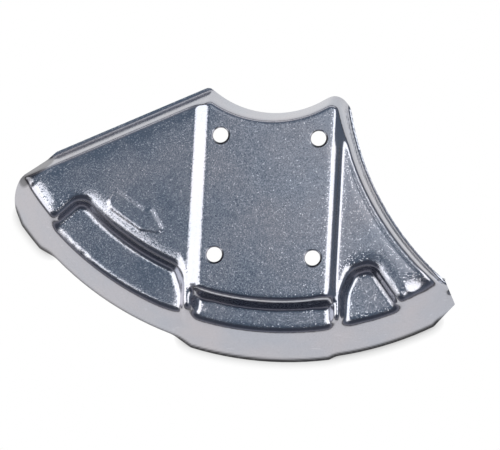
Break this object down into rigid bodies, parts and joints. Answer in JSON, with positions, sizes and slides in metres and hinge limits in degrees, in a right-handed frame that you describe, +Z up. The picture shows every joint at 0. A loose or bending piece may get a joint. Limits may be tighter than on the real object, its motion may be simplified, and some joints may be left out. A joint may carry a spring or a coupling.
{
  "type": "trimmer blade guard",
  "caption": "Sector-shaped guard pressed from one sheet of zinc plated steel, with a raised bolting plate, sunk shelves and a turned-down rim, for the saw blade of a trimmer.",
  "frame": {"origin": "middle of the bolt holes, on the upper face of the raised plate", "axes": "+Z up out of the plate, away from the blade; +Y towards the blade axis and the gear head; +X to the right seen from above"},
  "size_m": [0.1598, 0.0958, 0.026],
  "materials": {
    "zinc_plate": "bright zinc plating on smooth pressed sheet"
  },
  "bodies": {
    "root": {"blade_guard": "zinc_plate"}
  },
  "joints": []
}
